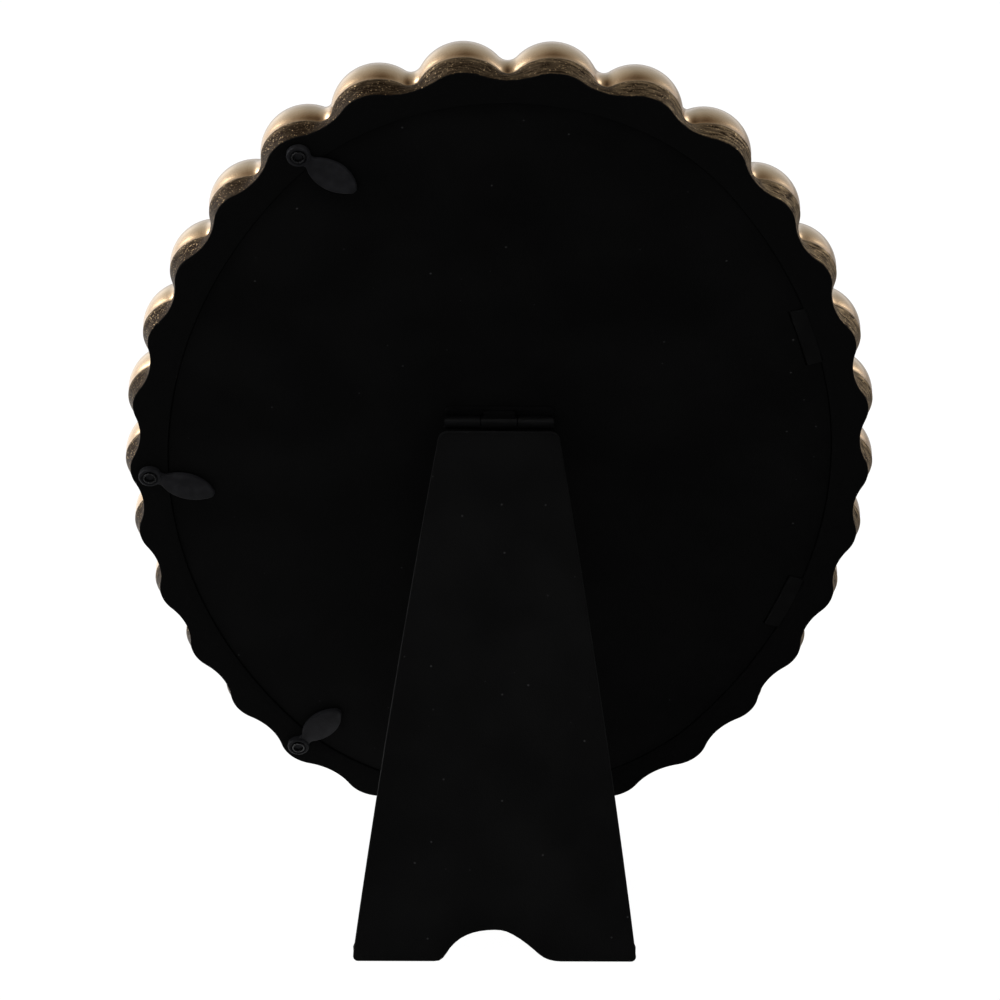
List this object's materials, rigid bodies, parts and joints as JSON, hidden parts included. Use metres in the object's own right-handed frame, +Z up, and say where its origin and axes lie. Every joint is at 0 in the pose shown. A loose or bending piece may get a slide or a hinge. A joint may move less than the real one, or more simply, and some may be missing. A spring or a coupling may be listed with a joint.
{
  "type": "photo frame",
  "caption": "Upright oval photo frame with a beaded gold rim, glass, turn-button back board and a hinged easel leg.",
  "frame": {"origin": "on the table, under the middle of the overall box, with the frame standing on the back edges of its two lowest lobes and the foot of its leg", "axes": "+Z up; the glass faces -Y and leans back 18 degrees; the easel leg stands behind on the +Y side; +X to the right seen from the front"},
  "size_m": [0.1484, 0.0742, 0.1893],
  "materials": {
    "gold": "satin champagne-gold plating over a cast metal rim, black paint on the back",
    "glass": "clear float glass",
    "print": "plain pale photo paper, no picture",
    "card": "grey-brown packing card",
    "hardboard": "pressed hardboard",
    "flock": "black flocked paper",
    "black_paint": "satin black paint on pressed steel",
    "black_steel": "black japanned steel",
    "steel": "drawn steel wire",
    "rivet_steel": "blackened hollow rivet"
  },
  "bodies": {
    "frame": {"rim": "gold", "glass": "glass", "print": "print", "backing_card": "card", "board_core": "hardboard", "board_cover": "flock", "hinge_board_leaf": "black_steel", "hinge_pin": "steel", "hinge_board_rivets": "black_steel", "button_rivets": "rivet_steel"},
    "leg": {"leg_core": "hardboard", "leg_cover": "flock", "hinge_leg_leaf": "black_steel", "hinge_leg_rivets": "black_steel"},
    "button_top": {"button_top": "black_paint"},
    "button_middle": {"button_middle": "black_paint"},
    "button_bottom": {"button_bottom": "black_paint"}
  },
  "joints": [
    {"name": "leg_hinge", "type": "hinge", "parent": "frame", "child": "leg", "pos_m": [0.0004, 0.01047, 0.10598], "axis": [1, 0, 0], "range_deg": [-30.6, 0]},
    {"name": "button_top_swivel", "type": "hinge", "parent": "frame", "child": "button_top", "pos_m": [0.03865, 0.02993, 0.16814], "axis": [0, 0.9511, -0.309], "continuous": true},
    {"name": "button_middle_swivel", "type": "hinge", "parent": "frame", "child": "button_middle", "pos_m": [0.0692, 0.00517, 0.09193], "axis": [0, 0.9511, -0.309], "continuous": true},
    {"name": "button_bottom_swivel", "type": "hinge", "parent": "frame", "child": "button_bottom", "pos_m": [0.04099, -0.01825, 0.01986], "axis": [0, 0.9511, -0.309], "continuous": true}
  ]
}
